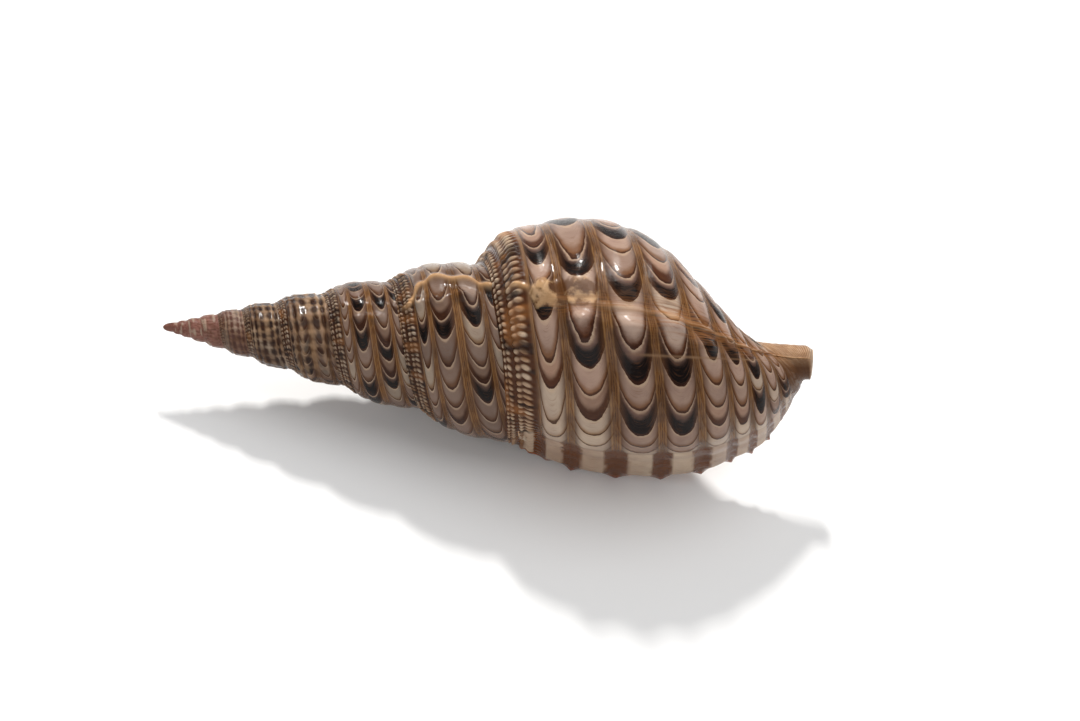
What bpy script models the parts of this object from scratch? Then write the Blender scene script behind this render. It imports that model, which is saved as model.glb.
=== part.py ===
"""Triton shell, grown as one piece: spire, body whorl, flared lip, canal and the hollow behind the aperture.

The skin is a loft of profiles around the shell's own axis. A profile lies in the half plane at a growth
angle; it starts on the seam with the whorl before and runs down to the next seam, or to the canal's tip on
the last turn. Places on a profile are counted in ribs: 0 is the seam, 1 and 2 are the bead strings below it,
3 to 9 are the wide ribs and 20 is the canal's tip. Growth angles are in degrees: 90 is the middle of the
back, and each turn closer to the apex is 360 less.
"""
import math

import bpy
import numpy as np
from mathutils import Matrix, Vector

# Overall growth
SEAM_DISTANCE = 0.1696          # from the spiral's centre to the seam at the middle of the back
WHORL_GROWTH = 1.395            # how much larger each turn is than the one before
SEAM_SLOWS_AT = 90.0            # growth angle where the seam starts to run straight around
SEAM_SLOWS_OVER = 34.0
APEX_DISTANCE = 0.0039          # the worn apex stands this far from the spiral's centre
FIRST_SEAM = 0.0080             # seam distance where the first whorl starts
TIP_DISTANCE = 0.3235           # from the spiral's centre to the canal's tip
LIP_ANGLE = 195.0               # growth angle of the outer lip

# Places of the ribs down a profile, as shares of the seam distance
SPIRE_RIBS = ((0, 1.0), (1, 1.022), (2, 1.058), (3, 1.10), (4, 1.18), (5, 1.315), (6, 1.40), (7, 1.48),
              (8, 1.55), (9, 1.61), (10, 1.66), (11, 1.71), (12, 1.76))
BODY_RIBS = ((0, 1.0), (1, 1.025), (2, 1.068), (3, 1.14), (4, 1.25), (5, 1.385), (6, 1.503), (7, 1.604),
             (8, 1.67), (9, 1.72), (10, 1.76), (11, 1.79), (12, 1.82))

# Radius of the profile at a distance down the axis, both as shares of the seam distance
SPIRE_PROFILE = ((1.0, 0.245), (1.03, 0.262), (1.06, 0.283), (1.10, 0.305), (1.17, 0.328), (1.25, 0.341),
                 (1.33, 0.345), (1.395, 0.342), (1.46, 0.330), (1.54, 0.300), (1.62, 0.255), (1.70, 0.195),
                 (1.76, 0.140), (1.84, 0.080))
BODY_PROFILE = ((1.0, 0.255), (1.028, 0.290), (1.064, 0.336), (1.09, 0.358), (1.156, 0.377), (1.231, 0.398),
                (1.306, 0.409), (1.382, 0.405), (1.459, 0.387), (1.536, 0.350), (1.58, 0.322),
                (1.62, 0.282), (1.66, 0.240), (1.70, 0.194), (1.74, 0.144), (1.775, 0.104), (1.82, 0.065))
LIP_PROFILE = ((1.0, 0.262), (1.065, 0.289), (1.134, 0.317), (1.20, 0.336), (1.30, 0.349), (1.40, 0.350),
               (1.505, 0.336), (1.573, 0.320), (1.638, 0.289), (1.72, 0.244), (1.767, 0.178), (1.82, 0.072))
BODY_STARTS = (-215.0, -5.0)    # growth angles over which the spire's profile turns into the body whorl's
LIP_STARTS = (55.0, 170.0)      # and the body whorl's into the lip's

# The last turn draws in a little and then flares to the lip: growth angle and share of the radius
FLARE = ((-60, 1.0), (60, 1.0), (100, 0.965), (140, 0.905), (158, 0.865), (168, 0.865), (178, 0.905),
         (187, 0.975), (195, 1.045))

# Old lips left as low ridges: growth angle at ribs 2, 4, 6 and 9, and height as a share of the radius
VARICES = (((58, 70, 72.5, 79), 0.035), ((-300, -322, -313, -310), 0.045), ((-664, -664, -662, -660), 0.03),
           ((-1012, -1010, -1008, -1005), 0.06), ((-1372, -1370, -1368, -1365), 0.06))
VARIX_RISE = 26.0
VARIX_FALL = 4.5

# Ribs and bead strings, heights as shares of the seam distance
RIB_HEIGHT = ((0, 0.0), (1, 0.007), (2, 0.007), (2.5, 0.006), (3, 0.006), (5, 0.0075), (7, 0.0065),
              (9, 0.0045), (12, 0.003), (20, 0.0012))
BEADS_PER_TURN = 17             # coarse lumps in the two bead strings
BEAD_SHARE = 0.55               # share of the bead strings' height that the lumps take
SLOPE_STEP = 0.04               # ribs to either side over which the profile's slope is read

# Canal
CANAL_FROM_RIB = 12.0
CANAL_TIP_RIB = 20.0
CANAL_FADE = 6.0                # how quickly the base narrows to the canal
CANAL_RADIUS = ((-165, 0.0015), (-90, 0.0042), (0, 0.0078), (90, 0.0090), (195, 0.0084))
CANAL_END_DEPTH = 0.0025        # hollow of the canal's end
CANAL_END_ANGLE = 95.0          # its deepest point, by growth angle
CANAL_END_OFFSET = 0.0028       # and distance from the axis

# Hollow behind the lip: it runs back from the lip into the spire, by growth angle in degrees
WALLS = ((0, 0.0084), (110, 0.0078), (220, 0.0040), (380, 0.0018), (800, 0.0009), (1200, 0.0006))
RIM_OVER = 11.0                 # the lip reaches its full thickness this far behind its edge
RIM_SHARE = 0.3                 # share of the thickness at the very edge
BASE_WALL_SHARE = 0.55          # share of the thickness toward the canal
CALLUS = 0.0004                 # glaze over the whorl before, inside the aperture
HOLLOW_END_RIB = 12.0           # how far the hollow reaches toward the canal's tip
LIP_END_RIB = 19.6              # and at the lip
LIP_END_OVER = (15.0, 85.0)     # from one to the other over this many degrees behind the lip
CORNER_GAP = (0.08, 0.63)       # ribs between the seam and the hollow's upper corner, at the lip and behind
END_WALL = 0.001                # bulge of the hollow's inner end
HOLLOW_STEPS = (1.5, 4.5, 10, 18, 28, 40, 54, 68) + tuple(range(84, 341, 16)) + tuple(range(364, 1100, 23))
HOLLOW_CORNER_RIB = 2.3         # where the hollow starts below the seam
HOLLOW_ROWS = (13, 8)           # points along the outer and the inner wall
HOLLOW_ROWS_DEEP = (8, 5)
DEEP_FROM = 350.0

# Profiles round a turn: degrees behind the lip of the close ones, and how many share the rest of the turn
NEAR_LIP = (0.0, 4.0, 8.0, 13.0, 19.0, 26.0)
WIDE_COLUMNS = 28

# Mesh rows down a profile, fewer on the smaller whorls; no row comes closer to the seam than ROW_GAP
ROW_GAP = 0.12
BODY_ROWS = ((0, 0.5, 1, 1.5, 2, 2.5)
             + tuple(rib + share for rib in range(3, 10) for share in (-0.28, 0.0, 0.28, 0.5))
             + (10, 10.5, 11, 11.5, 12, 13, 14, 15.5, 17, 18.5, 19.5, 20))
SPIRE_ROWS = ((-530, (0, 0.5, 1, 1.5, 2, 2.5, 2.75, 3, 3.5, 3.75, 4, 4.3, 4.5, 4.75, 5, 5.3, 5.6)),
              (-890, (0, 1, 1.5, 2, 2.5, 3, 3.5, 4, 4.5, 5, 5.5)),
              (-1250, (0, 1, 1.5, 2.2, 3, 4, 5)),
              (-1970, (0, 1, 2, 3.5, 5)),
              (-9999, (0, 1.2, 3)))

# How the shell lies: the spiral's axis is turned about X so that lip and belly carry it, then levelled
ROLL = 43.930
PITCH = -5.455


def through(points, at):
    """Smooth curve through the points, without overshoot, read at the given places."""
    xs = np.array([point[0] for point in points], dtype=float)
    ys = np.array([point[1] for point in points], dtype=float)
    steps = np.diff(xs)
    slopes = np.diff(ys) / steps
    tangents = np.zeros(len(xs))
    for index in range(1, len(xs) - 1):
        before, after = slopes[index - 1], slopes[index]
        if before * after > 0:
            weight_a = 2 * steps[index] + steps[index - 1]
            weight_b = steps[index] + 2 * steps[index - 1]
            tangents[index] = (weight_a + weight_b) / (weight_a / before + weight_b / after)
    tangents[0] = slopes[0]
    tangents[-1] = slopes[-1]
    at = np.clip(np.asarray(at, dtype=float), xs[0], xs[-1])
    cell = np.clip(np.searchsorted(xs, at, side="right") - 1, 0, len(steps) - 1)
    width = steps[cell]
    share = (at - xs[cell]) / width
    square = share * share
    cube = square * share
    return (ys[cell] * (2 * cube - 3 * square + 1) + ys[cell + 1] * (3 * square - 2 * cube)
            + width * (tangents[cell] * (cube - 2 * square + share) + tangents[cell + 1] * (cube - square)))


def fade(low, high, value):
    """0 below low, 1 above high and smooth between."""
    share = np.clip((np.asarray(value, dtype=float) - low) / (high - low), 0.0, 1.0)
    return share * share * (3 - 2 * share)


def seam_distance(angle):
    """Distance from the spiral's centre to the upper seam at a growth angle."""
    late = np.maximum(angle - SEAM_SLOWS_AT, 0.0)
    grown = np.minimum(angle, SEAM_SLOWS_AT) + SEAM_SLOWS_OVER * (1 - np.exp(-late / SEAM_SLOWS_OVER))
    return SEAM_DISTANCE * WHORL_GROWTH ** ((grown - 90.0) / 360.0)


def rib_share(angle, rib):
    """Distance down the axis, as a share of the seam distance, of a place counted in ribs."""
    body = fade(*BODY_STARTS, angle)
    return through(SPIRE_RIBS, rib) * (1 - body) + through(BODY_RIBS, rib) * body


def seam_rib(angle):
    """Place on this whorl, counted in ribs, where the next whorl's seam lies."""
    ribs = np.linspace(3.0, 9.0, 601)
    wanted = seam_distance(angle + 360.0) / seam_distance(angle)
    return float(np.interp(wanted, rib_share(angle, ribs), ribs))


def varix_lift(angle, rib):
    """Height of the old lips at a place, as a share of the radius."""
    lift = np.zeros_like(rib)
    for angles, height in VARICES:
        middle = through(tuple(zip((2, 4, 6, 9), angles)), rib)
        ahead = angle - middle
        width = np.where(ahead > 0, VARIX_FALL, VARIX_RISE)
        lift = lift + height * np.exp(-((ahead / width) ** 2))
    return lift * fade(1.0, 2.6, rib) * (1 - fade(10.0, 13.0, rib))


def bare_profile(angle, rib):
    """Distance down the axis and radius of the skin at a growth angle, without ribs or beads."""
    rib = np.asarray(rib, dtype=float)
    seam = seam_distance(angle)
    held = np.minimum(rib, CANAL_FROM_RIB)
    down = rib_share(angle, held)
    body = fade(*BODY_STARTS, angle)
    lip = fade(*LIP_STARTS, angle)
    radius = through(SPIRE_PROFILE, down) * (1 - body) + through(BODY_PROFILE, down) * body
    radius = radius * (1 - lip) + through(LIP_PROFILE, down) * lip
    flare = through(FLARE, angle) - 1.0
    radius = radius * (1 + flare * fade(0.0, 2.5, held) * (1 - fade(10.5, 12.0, held)))
    radius = radius * (1 + varix_lift(angle, held))
    distance = down * seam
    radius = radius * seam
    canal = np.clip((rib - CANAL_FROM_RIB) / (CANAL_TIP_RIB - CANAL_FROM_RIB), 0.0, 1.0)
    tip_radius = through(CANAL_RADIUS, angle)
    distance = distance + (TIP_DISTANCE - distance) * canal
    return distance, tip_radius + (radius - tip_radius) * (1 - canal) ** CANAL_FADE


def seam_radius(angle):
    """Radius at the upper seam: it lies on the whorl before."""
    before = angle - 360.0
    return bare_profile(before, np.array([seam_rib(before)]))[1][0]


def relief(angle, rib):
    """Height of ribs and beads above the bare profile, as a share of the seam distance."""
    height = through(RIB_HEIGHT, rib)
    waves = 0.5 + 0.5 * np.cos(2 * math.pi * rib)
    lumps = 0.5 + 0.5 * math.cos(math.radians(angle) * BEADS_PER_TURN)
    strings = 1 - fade(2.3, 2.6, rib)
    return height * waves * (1 - BEAD_SHARE * strings * lumps) * fade(0.0, 0.4, rib)


def skin(angle, rib, inset=0.0):
    """Distance down the axis and radius of the finished skin, moved inward by inset."""
    rib = np.asarray(rib, dtype=float)
    distance, radius = bare_profile(angle, rib)
    drop = seam_radius(angle) - bare_profile(angle, np.array([0.0]))[1][0]
    radius = radius + drop * (1 - fade(0.0, 2.0, rib))
    ahead = bare_profile(angle, np.minimum(rib + SLOPE_STEP, CANAL_TIP_RIB))
    behind = bare_profile(angle, np.maximum(rib - SLOPE_STEP, 0.0))
    along = ahead[0] - behind[0]
    across = ahead[1] - behind[1]
    length = np.hypot(along, across)
    lift = relief(angle, rib) * seam_distance(angle) - inset
    return distance - lift * across / length, radius + lift * along / length


def place(angle, distance, radius):
    """Point in the shell's own frame: the axis runs along X and the middle of the back is up."""
    turn = math.radians(angle)
    return Vector((distance, radius * math.cos(turn), radius * math.sin(turn)))


def column_angles():
    """Growth angles of the profiles: close together behind the lip, wider elsewhere, alike on every turn."""
    wide = np.linspace(NEAR_LIP[-1], 360.0, WIDE_COLUMNS + 2)[1:-1]
    return [-value for value in NEAR_LIP] + [-float(value) for value in wide]


def rows_at(angle):
    """Mesh rows of the profile at a growth angle."""
    if angle > LIP_ANGLE - 361.0:
        return BODY_ROWS
    for from_angle, rows in SPIRE_ROWS:
        if angle > from_angle:
            return rows
    return SPIRE_ROWS[-1][1]


def strip(first, second, faces):
    """Triangles between two rows of (place, vertex) that start and end together."""
    left, right = 0, 0
    while left < len(first) - 1 or right < len(second) - 1:
        next_left = first[left + 1][0] if left < len(first) - 1 else math.inf
        next_right = second[right + 1][0] if right < len(second) - 1 else math.inf
        if next_left <= next_right:
            corners = (first[left][1], first[left + 1][1], second[right][1])
            left += 1
        else:
            corners = (first[left][1], second[right + 1][1], second[right][1])
            right += 1
        if len(set(corners)) == 3:
            faces.append(corners)


def hollow_ring(step):
    """Points of the hollow's edge at a growth angle behind the lip, as (place round the ring, point)."""
    angle = LIP_ANGLE - step
    before = angle - 360.0
    rim = float(fade(0.0, RIM_OVER, step))
    outer_rows, inner_rows = HOLLOW_ROWS if step < DEEP_FROM else HOLLOW_ROWS_DEEP
    wall = float(through(WALLS, step)) * (RIM_SHARE + (1 - RIM_SHARE) * rim)
    canal_end = HOLLOW_END_RIB + (LIP_END_RIB - HOLLOW_END_RIB) * (1 - float(fade(*LIP_END_OVER, step)))
    start = HOLLOW_CORNER_RIB * (0.25 + 0.75 * rim)
    end = seam_rib(before) + CORNER_GAP[0] + (CORNER_GAP[1] - CORNER_GAP[0]) * rim
    ring = []
    for index in range(outer_rows):
        share = index / (outer_rows - 1)
        rib = start + (canal_end - start) * share
        inset = wall * (1 - (1 - BASE_WALL_SHARE) * float(fade(9.0, 14.0, rib)))
        distance, radius = skin(angle, np.array([rib]), inset)
        ring.append((rib / CANAL_TIP_RIB, place(angle, distance[0], radius[0])))
    for index in range(inner_rows):
        share = index / (inner_rows - 1)
        rib = canal_end + (end - canal_end) * share
        distance, radius = skin(before, np.array([rib]), -CALLUS * rim)
        turn = 1 + (CANAL_TIP_RIB - rib) / (CANAL_TIP_RIB - seam_rib(before))
        ring.append((turn, place(angle, distance[0], radius[0])))
    return ring


def build_mesh():
    """Vertices and triangles of the whole shell in its own frame."""
    points = []
    faces = []
    offsets = column_angles()
    per_turn = len(offsets)
    angles = []
    turn = 0
    while True:
        turn_angles = [LIP_ANGLE + offset - 360.0 * turn for offset in offsets]
        angles.extend(turn_angles)
        if seam_distance(turn_angles[-1]) < FIRST_SEAM:
            break
        turn += 1
    angles = [angle for angle in angles if seam_distance(angle) >= FIRST_SEAM]
    angles.reverse()
    last = len(angles) - 1
    base = last - per_turn

    def add(point):
        points.append(point)
        return len(points) - 1

    columns = []
    for index, angle in enumerate(angles):
        final = index >= base
        end = CANAL_TIP_RIB if final else seam_rib(angle)
        rows = [rib for rib in rows_at(angle) if rib < end - ROW_GAP] + [end]
        if index == base:
            own_seam = seam_rib(angle)
            rows = [rib for rib in rows if abs(rib - own_seam) > ROW_GAP] + [own_seam]
            rows.sort()
        distance, radius = skin(angle, np.array(rows))
        column = []
        for place_on, down, out in zip(rows, distance, radius):
            if place_on == 0 and index >= per_turn:
                before = columns[index - per_turn]
                wanted = seam_rib(angles[index - per_turn])
                vertex = min(before, key=lambda entry: abs(entry[0] - wanted))[1]
            else:
                vertex = add(place(angle, down, out))
            column.append((place_on, vertex))
        columns.append(column)

    def stretched(column):
        end = column[-1][0]
        return [(rib / end, vertex) for rib, vertex in column]

    for index in range(last):
        first, second = columns[index], columns[index + 1]
        if index + 1 == base:
            own_seam = seam_rib(angles[base])
            second = [entry for entry in second if entry[0] <= own_seam + 1e-9]
        strip(stretched(first), stretched(second), faces)

    # The worn apex closes the first turn
    apex = add(Vector((APEX_DISTANCE, 0.0, 0.0)))
    border = [columns[0][index][1] for index in range(len(columns[0]) - 1, -1, -1)]
    for index in range(1, per_turn + 1):
        border.append(columns[index][0][1])
    for index in range(len(border) - 1):
        if border[index] != border[index + 1]:
            faces.append((border[index], border[index + 1], apex))

    # The canal's end is a shallow dish
    dish = add(place(CANAL_END_ANGLE, TIP_DISTANCE - CANAL_END_DEPTH, CANAL_END_OFFSET))
    ends = [columns[index][-1][1] for index in range(base, last + 1)]
    for index in range(len(ends)):
        faces.append((ends[(index + 1) % len(ends)], ends[index], dish))

    # The hollow runs back from the lip, ring by ring, and ends in a rounded wall
    own_seam = seam_rib(angles[base])
    lip = [(rib / CANAL_TIP_RIB, vertex) for rib, vertex in columns[last]]
    inner = [entry for entry in columns[base] if entry[0] >= own_seam - 1e-9]
    span = CANAL_TIP_RIB - own_seam
    back = [(1 + (CANAL_TIP_RIB - rib) / span, vertex) for rib, vertex in reversed(inner)]
    previous = lip + back
    for step in HOLLOW_STEPS:
        ring = [(turn, add(point)) for turn, point in hollow_ring(step)]
        ring.insert(0, (0.0, ring[0][1]))
        ring.append((2.0, ring[0][1]))
        strip(previous, ring, faces)
        previous = ring
    loop = [vertex for _, vertex in previous[1:-1]]
    middle = Vector((0.0, 0.0, 0.0))
    for vertex in loop:
        middle += points[vertex] / len(loop)
    final_angle = math.radians(LIP_ANGLE - HOLLOW_STEPS[-1])
    ahead = Vector((0.0, math.sin(final_angle), -math.cos(final_angle)))
    cap = add(middle + ahead * END_WALL)
    for index in range(len(loop)):
        faces.append((loop[index], loop[(index + 1) % len(loop)], cap))
    return points, faces


def lay_down(points):
    """Turns the shell onto its lip and belly, on the ground and centred over the origin."""
    turn = Matrix.Rotation(math.radians(PITCH), 3, "Y") @ Matrix.Rotation(math.radians(ROLL), 3, "X")
    turned = [turn @ point for point in points]
    low = Vector([min(point[axis] for point in turned) for axis in range(3)])
    high = Vector([max(point[axis] for point in turned) for axis in range(3)])
    shift = Vector((-(low.x + high.x) / 2, -(low.y + high.y) / 2, -low.z))
    return [point + shift for point in turned]


def signed_volume(points, faces):
    return sum(points[a].dot(points[b].cross(points[c])) for a, b, c in faces) / 6


def make_material():
    material = bpy.data.materials.new("glazed_shell")
    material.use_nodes = True
    shader = material.node_tree.nodes["Principled BSDF"]
    shader.inputs["Base Color"].default_value = (0.42, 0.27, 0.16, 1.0)
    shader.inputs["Roughness"].default_value = 0.28
    shader.inputs["Metallic"].default_value = 0.0
    return material


def main():
    for old in list(bpy.data.objects):
        bpy.data.objects.remove(old, do_unlink=True)
    points, faces = build_mesh()
    if signed_volume(points, faces) < 0:
        faces = [(a, c, b) for a, b, c in faces]
    mesh = bpy.data.meshes.new("triton_shell")
    mesh.from_pydata(lay_down(points), [], faces)
    mesh.validate()
    mesh.update()
    mesh.materials.append(make_material())
    shell = bpy.data.objects.new("triton_shell", mesh)
    collection = bpy.data.collections.new("triton_shell")
    bpy.context.scene.collection.children.link(collection)
    collection.objects.link(shell)
    print("triangles", len(mesh.polygons), "vertices", len(mesh.vertices))


main()
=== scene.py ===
"""Looks of the triton shell: its ribs, beads, old lips and glaze in full detail.

The skin follows the same growth as the part: a profile in the half plane at each growth angle, with places
down it counted in ribs (0 the seam, 1 and 2 the bead strings, 3 to 9 the wide ribs, 20 the canal's tip). 90
degrees is the middle of the back and each turn closer to the apex is 360 less.
"""

import math

import bpy
import numpy as np
from mathutils import Matrix, Vector


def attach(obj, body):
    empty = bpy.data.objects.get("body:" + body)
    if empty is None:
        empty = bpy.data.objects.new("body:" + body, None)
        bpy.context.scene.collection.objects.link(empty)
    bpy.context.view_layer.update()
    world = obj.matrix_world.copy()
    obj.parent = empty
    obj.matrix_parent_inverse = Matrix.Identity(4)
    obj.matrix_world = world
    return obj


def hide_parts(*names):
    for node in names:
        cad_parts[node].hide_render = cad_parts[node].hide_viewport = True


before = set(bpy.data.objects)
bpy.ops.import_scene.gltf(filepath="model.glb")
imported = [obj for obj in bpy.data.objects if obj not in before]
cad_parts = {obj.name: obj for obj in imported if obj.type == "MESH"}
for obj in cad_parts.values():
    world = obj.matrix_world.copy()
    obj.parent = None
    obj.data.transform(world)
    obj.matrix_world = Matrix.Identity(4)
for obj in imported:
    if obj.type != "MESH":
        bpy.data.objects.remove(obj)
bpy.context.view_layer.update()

# Growth of the shell, in metres and degrees, as in the part
SEAM_DISTANCE = 0.1696          # of the seam down the axis, at 90 degrees
WHORL_GROWTH = 1.395            # in each turn
SEAM_SLOWS_AT = 90.0
SEAM_SLOWS_OVER = 34.0
APEX_DISTANCE = 0.0039          # of the apex down the axis
FIRST_SEAM = 0.0080             # of the seam where the coil starts
TIP_DISTANCE = 0.3235           # of the canal's tip
LIP_ANGLE = 195.0               # growth angle of the lip's edge
ROLL = 43.930                   # how the shell lies
PITCH = -5.455

# Places of the ribs down the axis, as shares of the seam distance
SPIRE_RIBS = ((0, 1.0), (1, 1.022), (2, 1.058), (3, 1.10), (4, 1.18), (5, 1.315), (6, 1.40), (7, 1.48),
              (8, 1.55), (9, 1.61), (10, 1.66), (11, 1.71), (12, 1.76))
BODY_RIBS = ((0, 1.0), (1, 1.025), (2, 1.068), (3, 1.14), (4, 1.25), (5, 1.385), (6, 1.503), (7, 1.604),
             (8, 1.67), (9, 1.72), (10, 1.76), (11, 1.79), (12, 1.82))
# Radius of the skin by its place down the axis, both as shares of the seam distance
SPIRE_PROFILE = ((1.0, 0.245), (1.03, 0.262), (1.06, 0.283), (1.10, 0.305), (1.17, 0.328), (1.25, 0.341),
                 (1.33, 0.345), (1.395, 0.342), (1.46, 0.330), (1.54, 0.300), (1.62, 0.255), (1.70, 0.195),
                 (1.76, 0.140), (1.84, 0.080))
BODY_PROFILE = ((1.0, 0.255), (1.028, 0.290), (1.064, 0.336), (1.09, 0.358), (1.156, 0.377), (1.231, 0.398),
                (1.306, 0.409), (1.382, 0.405), (1.459, 0.387), (1.536, 0.350), (1.58, 0.322),
                (1.62, 0.282), (1.66, 0.240), (1.70, 0.194), (1.74, 0.144), (1.775, 0.104), (1.82, 0.065))
LIP_PROFILE = ((1.0, 0.262), (1.065, 0.289), (1.134, 0.317), (1.20, 0.336), (1.30, 0.349), (1.40, 0.350),
               (1.505, 0.336), (1.573, 0.320), (1.638, 0.289), (1.72, 0.244), (1.767, 0.178), (1.82, 0.072))
BODY_STARTS = (-215.0, -5.0)    # growth angles over which the spire's shape turns into the body's
LIP_STARTS = (55.0, 170.0)      # and the body's into the lip's
# Growth angle and how wide the whorl opens there, as a share of its plain radius
FLARE = ((-60, 1.0), (60, 1.0), (100, 0.965), (140, 0.905), (158, 0.865), (168, 0.865), (178, 0.905),
         (187, 0.975), (195, 1.045))
# Old lips: growth angles of the crest at ribs 2, 4, 6 and 9, and its height as a share of the radius
VARICES = (((58, 70, 72.5, 79), 0.035), ((-300, -322, -313, -310), 0.045), ((-664, -664, -662, -660), 0.03),
           ((-1012, -1010, -1008, -1005), 0.06), ((-1372, -1370, -1368, -1365), 0.06))
EDGE_WIDTHS = (1.5, 2.6)        # of the cords on the two latest old lips, in degrees
VARIX_RISE = 26.0               # degrees over which an old lip rises
VARIX_FALL = 4.5                # and drops again toward the lip
USUAL_RADIUS = 0.38             # of a whorl, as a share of the seam distance
# Rib and how high the ribs stand there, as a share of the seam distance
RIB_HEIGHT = ((0, 0.0), (1, 0.007), (2, 0.007), (2.5, 0.006), (3, 0.006), (5, 0.0075), (7, 0.0065),
              (9, 0.0045), (12, 0.003), (20, 0.0012))
CANAL_FROM_RIB = 12.0
CANAL_TIP_RIB = 20.0
CANAL_FADE = 6.0                # how fast the body narrows to the canal
# Growth angle and the radius of the canal's tip there
CANAL_RADIUS = ((-165, 0.0015), (-90, 0.0042), (0, 0.0078), (90, 0.0090), (195, 0.0084))
CANAL_END_DEPTH = 0.0025        # of the dish in the canal's end
CANAL_END_ANGLE = 95.0          # growth angle of the dish's middle
CANAL_END_OFFSET = 0.0028       # and its distance from the axis
# Degrees back from the lip and the wall's thickness there
WALLS = ((0, 0.0084), (110, 0.0078), (220, 0.0040), (380, 0.0018), (800, 0.0009), (1200, 0.0006))
RIM_OVER = 11.0                 # degrees over which the lip's edge thickens to the wall
RIM_SHARE = 0.3                 # thickness of the lip's edge, as a share of the wall
RIM_REACH = 1.1                 # degrees by which the rounded edge bulges forward
BASE_WALL_SHARE = 0.55          # thickness of the wall toward the canal, as a share of the rest
CALLUS = 0.0004                 # thickness of the glaze on the whorl before
HOLLOW_CORNER_RIB = 2.3         # where the hollow starts below the seam
HOLLOW_END_RIB = 12.0           # where it ends toward the canal
LIP_END_RIB = 19.6              # and where it ends at the lip
LIP_END_OVER = (15.0, 85.0)     # degrees back from the lip over which that end draws in
CORNER_GAP = (0.08, 0.63)       # ribs from the seam to the hollow's corner, at the lip and behind it
SLOPE_STEP = 0.04               # ribs to each side over which the skin's slope is read

# Fine relief, which the part leaves to this script
BEADS_PER_TURN = 86             # small bars in each bead string of the body whorl
YOUNG_BEADS_PER_TURN = 44       # and near the apex
BEAD_DEPTH = 0.85               # share of a string's height that the gaps take
# Bead strings: rib of the middle, half width in ribs, and slant of the bars
BEAD_STRINGS = ((0.55, 0.17, 0.9), (1.0, 0.21, -1.2), (1.62, 0.16, 1.0), (2.08, 0.24, -1.4))
STRING_LIFT = 1.25              # height of the bead strings against a plain rib's
GROOVE_WIDTH = 0.17             # half width of the grooves between ribs, in ribs
CROWN = 0.22                    # how much a rib's crown rounds off toward its sides
THREAD_HEIGHT = 0.16            # thin thread in a groove, as a share of the rib's height
THREAD_WIDTH = 0.045            # and its half width, in ribs
VARIX_KNOBS = 0.30              # share of an old lip's height that swells on the ribs and sinks between
CORD_HEIGHT = 0.0080            # edge of an old lip, as a share of the seam distance
NET_HEIGHT = 0.0110             # net of small knobs on the young whorls, likewise
NET_PER_TURN = 20               # bars of that net in each turn
UNEVEN_HEIGHT = 0.0030          # slow swells, as a share of the seam distance
WRINKLE_HEIGHT = 0.00010        # fine wrinkles, strongest by the lip and the last old lip, in metres
LIP_SCALLOP = 2.6               # reach of the points on the lip's edge, in degrees
LIP_POINT = 0.0013              # how far these points stand out and the ribs between draw in, in metres
CANAL_ROUNDING = 0.0018         # how much the canal's end draws in at its rim, in metres

# Knobs that follow an old lip and the dents before them: growth angle, rib, share of the knob's height
KNOBS = ((63, 3.1, 0.7), (62, 3.95, 0.5), (70.5, 4.0, -0.5), (78, 4.0, 1.1), (72, 5.0, -0.5),
         (80, 5.0, 1.0), (71, 5.95, -0.4), (78.5, 5.95, 0.9), (76, 6.9, -0.3), (84, 6.9, 0.5),
         (-301, 3.9, 0.75), (-304, 4.75, 0.9), (-300, 2.9, 0.5), (-650, 3.8, 0.5), (-650, 4.7, 0.5))
KNOB_HEIGHT = 0.0050            # on the body whorl, in metres
KNOB_ANGLE = 4.4                # half width of a knob, in degrees
KNOB_RIB = 0.33                 # and in ribs

# Inside of the aperture
RIM_RINGS = 9                   # rings of points round the lip's edge
OUTER_POINTS = 190              # points of a ring on the lip's side
INNER_POINTS = 110              # and on the columella's side
TEETH_PER_RIB = 2.0
TOOTH_HEIGHT = 0.0011
TEETH_AT = 7.0                  # degrees back from the lip
TEETH_LENGTH = 4.5
FOLDS_PER_RIB = 1.7
FOLD_HEIGHT = 0.0007

# Spacing of the points on the outer skin
BODY_PARTED_AT = 15.0           # growth angle where the body whorl's mesh is parted
PAST_SEAM = 0.15                # ribs by which a whorl runs on under the next one
APEX_RINGS = 9
CANAL_END_RINGS = 14

# Scale-shaped marks on the back of the body whorl, by rib: growth angle where each ends toward the lip, and
# its tone (0 cream, 1 taupe, 2 brown-edged, 3 dark, 4 a knob, pale on top and brown at its foot, partly
# its own colour and partly painted light on its top and painted shade under it)
MARKS = {
    3: ((28, 1), (40, 2), (52, 3), (66, 1), (78, 3), (97, 1), (110, 2), (133, 0), (148, 0), (160, 0)),
    4: ((10, 1), (24, 3), (51, 1), (61, 3), (87, 4), (98, 3), (111, 1), (125, 2), (136, 0), (148, 0),
        (160, 0)),
    5: ((8, 2), (24, 1), (36, 3), (46, 1), (60, 1), (70, 3), (89, 4), (104, 3), (117, 1), (133, 3),
        (144, 1), (153, 1), (164, 0)),
    6: ((6, 1), (18, 2), (31, 3), (44, 1), (58, 2), (66, 3), (76, 0), (92, 4), (105, 3), (119, 1),
        (134, 3), (146, 1), (155, 1), (164, 0)),
    7: ((4, 1), (20, 2), (36, 1), (48, 2), (60, 1), (74, 1), (92, 3), (106, 1), (119, 1), (132, 2),
        (145, 1), (156, 0), (165, 0)),
    8: ((4, 2), (20, 1), (36, 2), (52, 1), (66, 3), (80, 1), (95, 3), (109, 1), (124, 1), (139, 2),
        (152, 0), (164, 0)),
    9: ((8, 1), (26, 2), (44, 1), (62, 1), (78, 1), (92, 2), (107, 3), (116, 0), (136, 3), (150, 1),
        (164, 0)),
}
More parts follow.
